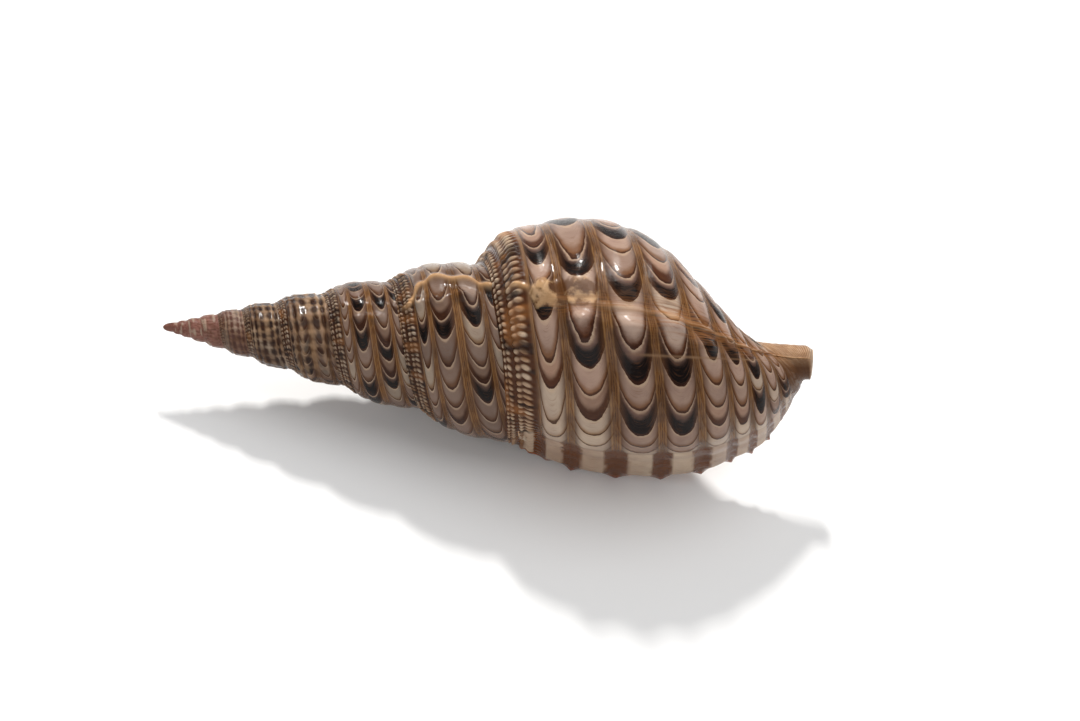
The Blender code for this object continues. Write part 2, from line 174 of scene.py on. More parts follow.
# The same on the whorl before
YOUNGER_MARKS = {
    3: ((-330, 1), (-300, 1), (-284, 0), (-268, 3), (-250, 1), (-232, 0), (-218, 1), (-200, 1)),
    4: ((-322, 0), (-298, 1), (-285, 2), (-272, 3), (-253, 1), (-237, 1), (-222, 1), (-205, 2), (-188, 1)),
    5: ((-318, 0), (-296, 4), (-281, 3), (-269, 0), (-255, 1), (-244, 2), (-230, 3), (-214, 1), (-200, 1),
        (-184, 2)),
}
MARKED_RIBS = range(3, 13)      # the wide ribs and those toward the canal
MARKS_START = -2300.0           # growth angle of the first mark near the apex
MARK_LENGTH = 15.0              # middling length of a mark elsewhere, in degrees of growth
LONGEST_MARK = 36.0             # stated marks that lie further apart have others between them
TONE_CHANCES = ((0.72, 3), (0.55, 2), (0.14, 1))    # tone of the other marks where a chance is above this
MARK_ARCH = 1.5                 # how far a mark's horns run back, as a share of its length
MARK_CURVE = 2.3                # how sharply the horns turn back at the sides of a rib

# Camera: what the photograph's middle looks at on the shell's own axes, and how wide its frame is there
LOOKS_AT = (0.18987, -0.00645, 0.0)
PHOTO_TILT = math.atan(0.054)   # slope of the shell's axis across the photograph
PHOTO_WIDTH = 1080              # pixels
PIXEL = 0.00049155              # metres that a pixel spans on the shell
FRAME_WIDTH = PHOTO_WIDTH * PIXEL
CAMERA_DISTANCE = 2.4
SENSOR = 36.0

# Studio. Lamps: name, direction from the shell, distance, size, power and colour
LAMPS = (("key", (-0.15, 0.62, 0.78), 1.5, (0.10, 0.20), 23.0, (1.0, 0.98, 0.95)),
         ("front", (-0.35, -0.85, 0.55), 1.8, (1.6, 1.2), 7.0, (1.0, 1.0, 1.0)),
         ("overhead", (0.25, 0.0, 1.0), 1.9, (1.8, 1.8), 15.5, (1.0, 1.0, 1.0)))
WORLD_LIGHT = 0.42
FLOOR_HALF = 4.0
FLOOR_GREY = 0.86


# Curves and noise

def through(points, at):
    """Smooth curve through the points, without overshoot, read at the given places."""
    xs = np.array([point[0] for point in points], dtype=float)
    ys = np.array([point[1] for point in points], dtype=float)
    steps = np.diff(xs)
    slopes = np.diff(ys) / steps
    tangents = np.zeros(len(xs))
    for index in range(1, len(xs) - 1):
        before, after = slopes[index - 1], slopes[index]
        if before * after > 0:
            weight_a = 2 * steps[index] + steps[index - 1]
            weight_b = steps[index] + 2 * steps[index - 1]
            tangents[index] = (weight_a + weight_b) / (weight_a / before + weight_b / after)
    tangents[0] = slopes[0]
    tangents[-1] = slopes[-1]
    at = np.clip(np.asarray(at, dtype=float), xs[0], xs[-1])
    cell = np.clip(np.searchsorted(xs, at, side="right") - 1, 0, len(steps) - 1)
    width = steps[cell]
    share = (at - xs[cell]) / width
    square = share * share
    cube = square * share
    return (ys[cell] * (2 * cube - 3 * square + 1) + ys[cell + 1] * (3 * square - 2 * cube)
            + width * (tangents[cell] * (cube - 2 * square + share) + tangents[cell + 1] * (cube - square)))


def fade(low, high, value):
    """0 below low, 1 above high and smooth between."""
    share = np.clip((np.asarray(value, dtype=float) - low) / (high - low), 0.0, 1.0)
    return share * share * (3 - 2 * share)


def hill(middle, width, value):
    """1 at the middle, falling off smoothly over the width."""
    return np.exp(-(((value - middle) / width) ** 2))


def scatter(first, second, seed):
    """A repeatable number from 0 to 1 for each pair of whole numbers."""
    value = np.sin(first * 127.1 + second * 311.7 + seed * 74.7) * 43758.5453
    return value - np.floor(value)


def drift(first, second, seed):
    """Smooth noise from 0 to 1 over two coordinates."""
    cell_a, cell_b = np.floor(first), np.floor(second)
    share_a, share_b = fade(0, 1, first - cell_a), fade(0, 1, second - cell_b)
    near = scatter(cell_a, cell_b, seed) * (1 - share_a) + scatter(cell_a + 1, cell_b, seed) * share_a
    far = scatter(cell_a, cell_b + 1, seed) * (1 - share_a)
    far = far + scatter(cell_a + 1, cell_b + 1, seed) * share_a
    return near * (1 - share_b) + far * share_b


# Shape of the skin, for arrays of growth angles and ribs

def seam_distance(angle):
    """Distance of the seam down the axis. Its growth slows down toward the lip."""
    late = np.maximum(angle - SEAM_SLOWS_AT, 0.0)
    grown = np.minimum(angle, SEAM_SLOWS_AT) + SEAM_SLOWS_OVER * (1 - np.exp(-late / SEAM_SLOWS_OVER))
    return SEAM_DISTANCE * WHORL_GROWTH ** ((grown - 90.0) / 360.0)


def rib_share(angle, rib):
    """Place of a rib down the axis, as a share of the seam distance."""
    body = fade(*BODY_STARTS, angle)
    return through(SPIRE_RIBS, rib) * (1 - body) + through(BODY_RIBS, rib) * body


def seam_rib(angle):
    """Place on this whorl, counted in ribs, where the next whorl's seam lies, for one angle or several."""
    flat = np.atleast_1d(np.asarray(angle, dtype=float)).ravel()
    ribs = np.linspace(3.0, 9.0, 301)
    wanted = seam_distance(flat + 360.0) / seam_distance(flat)
    found = [np.interp(goal, rib_share(turn, ribs), ribs) for turn, goal in zip(flat, wanted)]
    return np.array(found).reshape(np.shape(angle))


def past_crest(angles, angle, rib):
    """Degrees past the crest of an old lip, which runs through the given angles at ribs 2, 4, 6 and 9."""
    return angle - through(tuple(zip((2, 4, 6, 9), angles)), rib)


def varix_lift(angle, rib):
    """Height of the old lips, as a share of the radius."""
    lift = np.zeros(np.broadcast(angle, rib).shape)
    for angles, height in VARICES:
        ahead = past_crest(angles, angle, rib)
        width = np.where(ahead > 0, VARIX_FALL, VARIX_RISE)
        lift = lift + height * np.exp(-((ahead / width) ** 2))
    return lift * fade(1.0, 2.6, rib) * (1 - fade(10.0, 13.0, rib))


def varix_edge(angle, rib):
    """1 on the drop of an old lip, 0 away from it."""
    edge = np.zeros(angle.shape)
    for (angles, _), width in zip(VARICES, EDGE_WIDTHS):
        ahead = past_crest(angles, angle, rib)
        edge = np.maximum(edge, hill(1.0, width, ahead))
    return edge * fade(0.8, 2.4, rib)
def bare_profile(angle, rib):
    """Distance down the axis and radius of the skin without ribs or beads."""
    seam = seam_distance(angle)
    held = np.minimum(rib, CANAL_FROM_RIB)
    down = rib_share(angle, held)
    body = fade(*BODY_STARTS, angle)
    lip = fade(*LIP_STARTS, angle)
    radius = through(SPIRE_PROFILE, down) * (1 - body) + through(BODY_PROFILE, down) * body
    radius = radius * (1 - lip) + through(LIP_PROFILE, down) * lip
    flare = through(FLARE, angle) - 1.0
    radius = radius * (1 + flare * fade(0.0, 2.5, held) * (1 - fade(10.5, 12.0, held)))
    radius = radius * (1 + varix_lift(angle, held)) * seam
    canal = np.clip((rib - CANAL_FROM_RIB) / (CANAL_TIP_RIB - CANAL_FROM_RIB), 0.0, 1.0)
    tip_radius = through(CANAL_RADIUS, angle)
    distance = down * seam + (TIP_DISTANCE - down * seam) * canal
    return distance, tip_radius + (radius - tip_radius) * (1 - canal) ** CANAL_FADE


def seam_radius(angle):
    """Radius of the whorl before, where this whorl's seam lies on it."""
    before = angle - 360.0
    return bare_profile(before, seam_rib(before))[1]


def groove_distance(rib):
    """Place across a rib: 0 on its crown and 0.5 in the grooves beside it."""
    return np.abs(rib - np.round(rib))


def bead_strings(angle, rib):
    """Height of the bead strings below the seam, as a share of the ribs' height there."""
    count = YOUNG_BEADS_PER_TURN + (BEADS_PER_TURN - YOUNG_BEADS_PER_TURN) * fade(-1100, -200, angle)
    around = np.radians(angle) * np.round(count / 2) * 2
    sway = 2.6 * drift(angle / 11.0, rib * 0.0, 5) + 0.9 * drift(angle / 3.0, rib * 1.5, 6)
    height = np.zeros(np.broadcast(angle, rib).shape)
    for middle, width, slant in BEAD_STRINGS:
        bars = 0.5 + 0.5 * np.sin(around + sway + middle * 2.4 + (rib - middle) * slant * 2.0)
        height = height + hill(middle, width, rib) * (1 - BEAD_DEPTH * (1 - bars ** 0.8))
    return height


def net(angle, rib):
    """Height of the net of bars and cords on the youngest whorls, from 0 to 1."""
    bars = 0.5 + 0.5 * np.cos(np.radians(angle) * NET_PER_TURN + 5.0 * drift(angle / 26.0, rib * 0.9, 13))
    cords = 0.5 + 0.5 * np.cos(2 * math.pi * rib * 1.5 + 1.6 * drift(angle / 30.0, rib * 0.3, 14))
    return np.maximum(0.75 * bars, cords) * (0.45 + 0.55 * bars * cords)


def knob_lift(angle, rib):
    """Height in metres of the knobs on the old lips, and depth of the dents before them."""
    lift = np.zeros(np.broadcast(angle, rib).shape)
    for at_angle, at_rib, share in KNOBS:
        size = KNOB_HEIGHT * share * seam_distance(at_angle) / SEAM_DISTANCE
        lift = lift + size * hill(at_angle, KNOB_ANGLE, angle) * hill(at_rib, KNOB_RIB, rib)
    return lift


def uneven_lift(angle, rib):
    """Height in metres of the fine wrinkles and the slow swells."""
    fine = drift(angle / 1.1, rib * 0.35, 11) + 0.6 * drift(angle / 0.45 + 0.4 * rib, rib * 0.6, 12) - 0.8
    worn = 0.35 + 1.5 * hill(84, 14, angle) * fade(4.5, 8.0, rib) + 0.8 * fade(160, 190, angle)
    wrinkles = WRINKLE_HEIGHT * fine * worn * fade(2.6, 3.2, rib)
    uneven = drift(angle / 19.0, rib * 0.8, 21) + 0.5 * drift(angle / 8.0, rib * 1.7, 22) - 0.75
    swells = UNEVEN_HEIGHT * seam_distance(angle) * uneven * fade(2.8, 3.6, rib) * (1 - fade(11, 15, rib))
    return wrinkles + swells


def relief(angle, rib):
    """Height in metres of everything that stands on the bare skin."""
    seam = seam_distance(angle)
    across = groove_distance(rib)
    groove = 1 - hill(0.5, GROOVE_WIDTH, across)
    ribs = groove * (1 - CROWN * (2 * across) ** 2) + THREAD_HEIGHT * hill(0.5, THREAD_WIDTH, across)
    strings = STRING_LIFT * (1 - fade(2.38, 2.62, rib)) * bead_strings(angle, rib) * fade(0.0, 0.35, rib)
    wide = fade(2.38, 2.72, rib)
    lift = through(RIB_HEIGHT, rib) * seam * (strings + wide * ribs) + knob_lift(angle, rib)
    lift = lift + varix_lift(angle, rib) * USUAL_RADIUS * seam * VARIX_KNOBS * np.cos(2 * math.pi * rib)
    lift = lift + CORD_HEIGHT * seam * varix_edge(angle, rib) * (1 - 0.5 * fade(-200, 0, angle))
    lift = lift + NET_HEIGHT * seam * net(angle, rib) * (1 - fade(-1000, -760, angle)) * wide
    lift = lift + uneven_lift(angle, rib)
    edge = fade(187.0, LIP_ANGLE, angle) * fade(2.6, 3.2, rib) * (1 - fade(9.6, 11.0, rib))
    points = LIP_POINT * (2 * (2 * across) ** 2.4 - 1.0)
    lift = lift * (1 - edge) + points * edge
    return lift * (1 - fade(19.0, 19.8, rib)) - CANAL_ROUNDING * fade(19.0, CANAL_TIP_RIB, rib) ** 2


def lip_scallop(rib):
    """Degrees by which the lip's edge reaches forward, in a point at each groove."""
    reach = (2 * groove_distance(rib)) ** 2 - 0.33
    return LIP_SCALLOP * reach * fade(2.6, 3.0, rib) * (1 - fade(9.6, 11.0, rib))


def skin(angle, rib, inset=0.0, detail=True):
    """Distance down the axis and radius of the finished skin, moved inward by inset."""
    angle, rib = np.broadcast_arrays(np.asarray(angle, dtype=float), np.asarray(rib, dtype=float))
    distance, radius = bare_profile(angle, rib)
    column = angle[:, :1]
    drop = seam_radius(column) - bare_profile(column, np.zeros_like(column))[1]
    radius = radius + drop * (1 - fade(0.0, 2.0, rib))
    ahead = bare_profile(angle, np.minimum(rib + SLOPE_STEP, CANAL_TIP_RIB))
    behind = bare_profile(angle, np.maximum(rib - SLOPE_STEP, 0.0))
    along = ahead[0] - behind[0]
    across = ahead[1] - behind[1]
    length = np.hypot(along, across)
    lift = (relief(angle, rib) if detail else 0.0) - inset
    return distance - lift * across / length, radius + lift * along / length


def place(angle, distance, radius):
    """Points on the shell's own axes, from growth angle, distance down the axis and radius."""
    turn = np.radians(angle)
    return np.stack([distance, radius * np.cos(turn), radius * np.sin(turn)], axis=-1)


# From the shell's own axes to the part's frame

LAY = np.array(Matrix.Rotation(math.radians(PITCH), 3, "Y") @ Matrix.Rotation(math.radians(ROLL), 3, "X"))
SPIRAL_CENTRE = np.array([-0.163309, -0.000878, 0.0339])    # origin of the shell's own axes


def laid(points):
    """Points on the shell's own axes, in the part's frame."""
    return np.asarray(points) @ LAY.T + SPIRAL_CENTRE

# Colours

def colour(red, green, blue):
    """A colour given as 0 to 255, in the linear values that Blender takes."""
    shares = np.array([red, green, blue]) / 255.0
    return np.where(shares <= 0.04045, shares / 12.92, ((shares + 0.055) / 1.055) ** 2.4)


def blend(first, second, share):
    """The first colour where the share is 0, and the second where it is 1."""
    share = np.clip(share, 0.0, 1.0)[..., None]
    return first * (1 - share) + second * share


# Tones of the marks: pale colour, deep colour, and how far along a mark the deep colour starts
TONES = ((colour(178, 160, 142), colour(142, 108, 76), 0.60),
         (colour(152, 128, 114), colour(112, 76, 50), 0.52),
         (colour(144, 116, 99), colour(66, 35, 17), 0.34),
         (colour(106, 82, 72), colour(12, 3, 2), 0.04),
         # tone 4: the knob's pale top and brown foot are partly its own colour, partly painted light on its
         # top and painted shade under it
         (colour(172, 150, 136), colour(78, 42, 20), 0.58))
TONES_PALE = np.array([pale for pale, deep, turns_at in TONES])
TONES_DEEP = np.array([deep for pale, deep, turns_at in TONES])
TONES_TURN_AT = np.array([turns_at for pale, deep, turns_at in TONES])
# Colours of the skin without marks
TAN = colour(142, 106, 74)
ORANGE = colour(176, 116, 62)
BROWN = colour(78, 43, 20)
BLOCK_BROWN = colour(90, 47, 4)
DARK = colour(30, 15, 10)
CREAM = colour(196, 178, 156)
CORD = colour(224, 178, 128)
PINKISH = colour(152, 120, 98)
GOLD = colour(192, 158, 124)
APEX_PINK = colour(164, 114, 102)
RIM_ORANGE = colour(128, 62, 20)
INSIDE_CREAM = colour(232, 200, 158)
INSIDE_ORANGE = colour(214, 142, 84)
OLD_WHORLS_DARKER = 0.55        # the young whorls' colours against the body whorl's
# Colours that the glaze lays over the marks, and those across a groove from its side to its middle
MARK_RIM = colour(48, 23, 12)
MARK_FLASH = colour(184, 160, 134)
MARK_HORN = colour(74, 43, 22)
GROOVE_STOPS = ((0.33, colour(102, 72, 40)), (0.385, colour(62, 36, 14)), (0.42, colour(146, 108, 66)),
                (0.455, colour(86, 52, 20)), (0.485, colour(134, 94, 50)), (0.5, colour(44, 22, 8)))
GROOVE_PATCH = colour(58, 34, 14)
THREAD_BROWN = colour(84, 52, 28)
THREADS_PER_RIB = 3.0
CLOUD_GREY = colour(214, 200, 196)
CLOUD_WHITE = colour(255, 250, 244)
GROWTH_BROWN = colour(104, 66, 40)
SCRAPED_BROWN = colour(84, 50, 22)
SCRAPED_TAN = colour(196, 158, 116)
STREAK_TAN = colour(150, 98, 56)
STREAK_BROWN = colour(84, 50, 26)


def tone_by_chance(chance):
    """Tone of a mark that isn't stated, from a chance of 0 to 1."""
    for above, tone in TONE_CHANCES:
        if chance > above:
            return tone
    return 0


def mark_ends(rib):
    """Growth angles where the marks on a rib end, and each mark's tone."""
    stated = sorted(YOUNGER_MARKS.get(rib, ()) + MARKS.get(rib, ()))
    ends, tones = [], []
    at = MARKS_START
    while at < LIP_ANGLE + 30:
        count = len(ends)
        further = [mark for mark in stated if mark[0] > at]
        if further and further[0][0] - at < LONGEST_MARK:
            at, tone = further[0]
        else:
            at = at + MARK_LENGTH * (0.7 + 0.7 * float(scatter(count, rib, 3)))
            tone = tone_by_chance(float(scatter(count, rib, 4)))
        ends.append(at)
        tones.append(tone)
    past_the_end = [1, 1, 1]
    return np.array(ends, dtype=float), np.array(tones + past_the_end)


def marks(angle, rib):
    """Running number of the mark at each place, growing toward the lip, and its tone."""
    number = np.zeros(angle.shape)
    tone = np.ones(angle.shape, dtype=int)
    nearest = np.clip(np.round(rib), MARKED_RIBS[0], MARKED_RIBS[-1])
    arch = MARK_ARCH * (2 * groove_distance(rib)) ** MARK_CURVE
    for index in MARKED_RIBS:
        here = nearest == index
        ends, tones = mark_ends(index)
        count = np.interp(angle[here], ends, np.arange(1.0, len(ends) + 1)) + arch[here]
        number[here] = count
        tone[here] = tones[np.clip(np.floor(count).astype(int), 0, len(tones) - 1)]
    return number, tone


def bead_colour(angle, rib):
    """Cream and tan beads with brown gaps, some of them dark and some orange."""
    bar = np.clip(bead_strings(angle, rib), 0.0, 1.0)
    pale = blend(CREAM * 0.98, TAN, drift(angle / 5.0, rib * 1.4, 33))
    bead = blend(BROWN * 0.8, pale, fade(0.25, 0.72, bar))
    bead = blend(bead, DARK, fade(0.62, 0.8, drift(angle / 3.2, rib * 1.1, 34)) * 0.8)
    return blend(bead, ORANGE, fade(0.6, 0.85, drift(angle / 12.0, rib * 0.7, 35)) * 0.35)


def lip_colour(angle, rib, mottle):
    """Brown blocks on the lip's grooves with cream between them, and an orange-brown edge."""
    block = fade(0.23, 0.29, groove_distance(rib) + 0.05 * (drift(angle / 4.0, rib * 3.0, 47) - 0.5))
    pale = blend(CREAM, PINKISH, 0.7 * drift(rib * 0.9, angle * 0.0, 36))
    blocks = blend(pale, BLOCK_BROWN, block)
    blocks = blend(blocks, BLOCK_BROWN, 0.25 * mottle)
    return blend(blocks, RIM_ORANGE, fade(190.5, 193.0, angle))


def canal_colour(angle, rib, mottle):
    """Golden canal, with painted shade as dark brown over its side toward the lip and the floor, and a cream
    rim.
    """
    canal = blend(GOLD, TAN, 0.8 * mottle)
    # painted shade: dark brown from past the back's middle toward the lip, on the canal's side that faces the
    # floor
    canal = blend(canal, BROWN * 0.7, 0.9 * fade(66, 112, angle) * (1 - fade(18.4, 19.8, rib)))
    return blend(canal, CREAM, fade(18.8, 19.9, rib) * 0.6)


def young_colour(angle, rib, mottle):
    """Golden and cream net on the brown young whorls, and a pinkish apex."""
    crumbs = drift(angle / 4.5, rib * 2.4, 38)
    ridge = fade(0.2, 0.6, net(angle, rib)) * (0.65 + 0.35 * mottle)
    stripe = fade(0.5, 0.8, drift(angle / 34.0, rib * 0.9, 39))
    shaded = fade(0.35, 0.65, drift(angle / 42.0, rib * 0.6, 46))
    crest = blend(blend(GOLD, CREAM * 1.15, stripe), BROWN, 0.55 * shaded + 0.25 * crumbs)
    young = blend(blend(DARK, BROWN, 0.6 * crumbs), crest, ridge)
    tip = blend(APEX_PINK, BROWN, 0.75 * crumbs)
    tip = blend(tip, CREAM, 0.6 * fade(0.62, 0.85, drift(angle / 34.0, rib * 1.2, 48)))
    return blend(young, tip, 1 - fade(-2250, -1350, angle))


def old_lip_wear(angle, rib):
    """How worn the last old lip is at each place, and how strong its streaks are, from 0 to 1."""
    past = past_crest(VARICES[0][0], angle, rib)
    worn = 0.9 * hill(66.5, 6.0, angle) * fade(2.4, 2.8, rib) * (1 - fade(4.2, 4.6, rib))
    streaked = hill(1, 8, past) * fade(4.4, 6.4, rib) * (1 - fade(12.0, 15.0, rib))
    by_the_knobs = 0.55 * hill(71, 4, angle) * fade(2.5, 3.5, rib) * (1 - fade(4.6, 6.0, rib))
    return worn, np.maximum(streaked, by_the_knobs)


def paint(angle, rib):
    """Everything the glaze needs at each place of the skin, by the name of its attribute."""
    number, tone = marks(angle, rib)
    variation = 0.86 + 0.28 * scatter(np.floor(number), np.round(rib), 9)[..., None]
    turns_at = TONES_TURN_AT[tone] + 0.12 * (scatter(np.floor(number), np.round(rib), 8) - 0.5)
    mottle = drift(angle / 7.0, rib * 2.2, 31)
    strings = 1 - fade(2.42, 2.62, rib)

    plain = young_colour(angle, rib, mottle)
    plain = blend(plain, canal_colour(angle, rib, mottle), fade(-700, -300, angle))
    plain = blend(plain, bead_colour(angle, rib), strings * fade(-2300, -1100, angle))
    ragged = 3.0 * (drift(rib * 1.3, angle * 0.0, 40) - 0.5)
    lip_zone = fade(154.0, 157.5, angle + ragged) * (1 - fade(10.6, 11.6, rib))
    plain = blend(plain, lip_colour(angle, rib, mottle), lip_zone * fade(0.3, 2.4, rib))
    patchy = 0.2 + 0.5 * drift(angle / 3.0, rib * 1.6, 41)
    edge = varix_edge(angle, rib) * np.where(angle > -200, patchy, 1.0)
    plain = blend(plain, CORD, edge)

    worn, streaked = old_lip_wear(angle, rib)
    cells = (1 - strings) * (1 - fade(10.7, 12.2, rib)) * (1 - lip_zone) * (1 - 0.9 * edge)
    cells = cells * (1 - 0.55 * hill(91, 0.6, angle) * fade(4.6, 5.4, rib))
    cells = cells * fade(-1080, -800, angle)
    lined = fade(9.6, 12.0, rib) * fade(-700, -300, angle)
    stain = (OLD_WHORLS_DARKER + (1 - OLD_WHORLS_DARKER) * fade(-230, -60, angle))[..., None]
    pale = TONES_PALE[tone] * variation * stain
    deep = TONES_DEEP[tone] * variation * stain
    return {"phase": number, "rib": rib, "cells": cells, "turns_at": turns_at, "lined": lined, "worn": worn,
            "streaked": streaked, "turn": angle / 10.0, "pale": pale, "deep": deep,
            "plain": plain * (0.25 + 0.75 * stain)}


# Meshes

def make_piece(name, points, looks, material):
    """A piece of the shell from a grid of points, with its attributes."""
    rows, columns = points.shape[:2]
    corner = np.arange(rows * columns).reshape(rows, columns)
    quads = np.stack([corner[:-1, :-1], corner[1:, :-1], corner[1:, 1:], corner[:-1, 1:]], axis=-1)
    mesh = bpy.data.meshes.new(name)
    mesh.from_pydata(laid(points).reshape(-1, 3).tolist(), [], quads.reshape(-1, 4).tolist())
    for label, values in looks.items():
        if values.ndim == 3:
            attribute = mesh.attributes.new(label, "FLOAT_COLOR", "POINT")
            filled = np.concatenate([np.clip(values, 0, 1), np.ones(values.shape[:2] + (1,))], axis=-1)
            attribute.data.foreach_set("color", filled.astype(np.float32).ravel())
        else:
            attribute = mesh.attributes.new(label, "FLOAT", "POINT")
            attribute.data.foreach_set("value", np.asarray(values, dtype=np.float32).ravel())
    mesh.polygons.foreach_set("use_smooth", [True] * len(mesh.polygons))
    mesh.update()
    mesh.materials.append(material)
    piece = bpy.data.objects.new(name, mesh)
    bpy.context.scene.collection.objects.link(piece)
    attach(piece, "root")
    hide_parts("triton_shell")
    return piece


def steps(*stretches):
    """Numbers from stretch to stretch, each given as (from, to, step), ending on the last one's end."""
    values = [np.arange(low, high - step * 0.01, step) for low, high, step in stretches]
    return np.append(np.concatenate(values), stretches[-1][1])


def skin_piece(name, angles, ribs, material):
    """A stretch of the outer skin. The ribs are given for every angle."""
    base = np.asarray(angles, dtype=float)[:, None]
    rib = np.broadcast_to(ribs, (len(angles), np.shape(ribs)[-1]))
    angle = base + lip_scallop(rib) * fade(180, LIP_ANGLE, base)
    distance, radius = skin(angle, rib)
    return make_piece(name, place(angle, distance, radius), paint(angle, rib), material)


# Ribs of the rows on the body whorl, closest where the beads and the ribs are
BODY_ROWS = steps((0.0, 2.6, 0.06), (2.6, 10.0, 0.06), (10.0, 12.0, 0.1), (12.0, 19.2, 0.4),
                  (19.2, 20.0, 0.2))


def young_piece(name, stretch, count, material):
    """A stretch of the spire, as (from, to, step) in degrees, with a count of points from seam to seam."""
    angles = steps(stretch)
    shares = np.linspace(0.0, 1.0, count)
    skin_piece(name, angles, (seam_rib(angles) + PAST_SEAM)[:, None] * shares[None, :], material)


def apex_piece(first_angle, material):
    """The worn, rounded start of the coil, from the shell's tip to the first turn of the seam."""
    angles = np.append(steps((first_angle, first_angle + 360.0, 10.0)), first_angle)[None, :]
    seam, radius = skin(angles.T, np.zeros_like(angles.T))
    lean = np.linspace(0.0, math.pi / 2, APEX_RINGS)[:, None]
    down = APEX_DISTANCE + (seam.T - APEX_DISTANCE) * (1 - np.cos(lean))
    points = place(angles + 0 * lean, down, radius.T * np.sin(lean))
    shade = blend(APEX_PINK, BROWN, 0.5 * drift(angles / 40.0, lean * 3.0, 45))
    make_piece("apex", points, plain_looks(shade * OLD_WHORLS_DARKER), material)


def canal_end_piece(material):
    """The canal's end, a shallow dish inside the rim of its tip, cream at the rim and darkened toward its
    deep middle with painted shade.
    """
    angles = steps((LIP_ANGLE - 360.0, LIP_ANGLE, 2.0))[:, None]
    distance, radius = skin(angles, np.full_like(angles, CANAL_TIP_RIB))
    rim = place(angles, distance, radius)[:, 0]
    rim = np.concatenate([rim, rim[:1]])
    centre = place(CANAL_END_ANGLE, TIP_DISTANCE, CANAL_END_OFFSET)
    shares = np.linspace(0.0, 1.0, CANAL_END_RINGS)
    rings = []
    for share in shares:
        ring = rim * (1 - share) + centre * share
        ring[:, 0] -= CANAL_END_DEPTH * math.sin(math.pi / 2 * share) ** 0.7
        rings.append(ring)
    points = np.array(rings)
    depth = shares[:, None] + np.zeros(points.shape[:2])
    # painted shade: cream at the rim turning brown toward the dish's deep middle
    shade = blend(CREAM, BROWN, fade(0.1, 0.8, depth))
    return make_piece("canal_end", points, plain_looks(shade), material)


def plain_looks(shade):
    """Attributes of a piece without marks."""
    flat = np.zeros(shade.shape[:2])
    return {"phase": flat, "rib": flat, "cells": flat, "turns_at": flat + 0.5, "lined": flat, "worn": flat,
            "streaked": flat, "turn": flat, "pale": shade, "deep": shade, "plain": shade}


def teeth(outer, step):
    """Height of the teeth inside the lip, from 0 to 1, a step of degrees back from its edge."""
    bars = np.clip(np.cos(2 * math.pi * (outer * TEETH_PER_RIB + 0.25)), 0, 1) * (1 - fade(9.5, 11, outer))
    return bars * float(hill(TEETH_AT, TEETH_LENGTH, step))


def folds(inner, step):
    """Height of the folds on the columella, up to 1, a step of degrees back from the lip's edge."""
    sway = 1.5 * drift(inner * 0.6, step / 9.0, 51)
    return np.clip(np.sin(2 * math.pi * inner * FOLDS_PER_RIB + sway), -0.2, 1)


def rim_side(turn, outer):
    """Points on the lip's rounded edge, at a turn from 0 on its outer side to pi on its inner side."""
    inset = WALLS[0][1] * RIM_SHARE / 2 * (1 - math.cos(turn)) * np.ones_like(outer)
    angles = LIP_ANGLE + RIM_REACH * math.sin(turn) + lip_scallop(outer) * (0.5 + 0.5 * math.cos(turn))
    distance, radius = skin(angles, outer, inset)
    return place(angles, distance, radius)[0]


def wall_side(step, whole, outer):
    """Points on the wall's inner side, a step back from the lip. Whole is 1 where it is at full thickness."""
    angles = (LIP_ANGLE - step) * np.ones_like(outer)
    wall = float(through(WALLS, step)) * (RIM_SHARE + (1 - RIM_SHARE) * whole)
    inset = wall * (1 - (1 - BASE_WALL_SHARE) * fade(9.0, 14.0, outer)) + TOOTH_HEIGHT * teeth(outer, step)
    ribbed = 1 - float(fade(0.0, 6.0, step))
    distance, radius = skin(angles, outer, inset - ribbed * relief(angles, outer), detail=False)
    return place(angles, distance, radius)[0]


def columella_side(step, whole, inner):
    """Points on the whorl before, along the hollow: its ribs at the lip, then glaze and folds."""
    angles = (LIP_ANGLE - step - 360.0) * np.ones_like(inner)
    folded = FOLD_HEIGHT * folds(inner, step) * (1 - float(fade(14.0, 40.0, step))) * whole
    glazed_down, glazed_out = skin(angles, inner, -CALLUS * whole - folded, detail=False)
    ribbed_down, ribbed_out = skin(angles, inner, 0.0)
    down = glazed_down * whole + ribbed_down * (1 - whole)
    out = glazed_out * whole + ribbed_out * (1 - whole)
    return place(angles, down, out)[0]


def ring_colours(step, on_rim, outer, inner):
    """Colours of a ring's points on the lip's side and then on the columella's side."""
    deep_in = float(fade(10.0, 60.0, step))
    lip_side = blend(INSIDE_CREAM, INSIDE_ORANGE, deep_in + 0 * outer)
    blotch = fade(0.26, 0.34, groove_distance(outer)) * (1 - float(fade(5.0, 9.0, step)))
    lip_side = blend(lip_side, BROWN, blotch)
    lip_side = blend(lip_side, CREAM, teeth(outer, step))
    if on_rim:
        lip_side = blend(lip_side, RIM_ORANGE, 0.8 + 0 * outer)
    stain = (1 - float(fade(16.0, 46.0, step))) * (1 - fade(15.5, 18.5, inner))
    columella = blend(INSIDE_CREAM, INSIDE_ORANGE, deep_in + 0 * inner)
    columella = blend(columella, DARK, 0.9 * stain)
    columella = blend(columella, CREAM, fade(0.15, 0.6, folds(inner, step)) * stain)
    return np.concatenate([lip_side, columella])


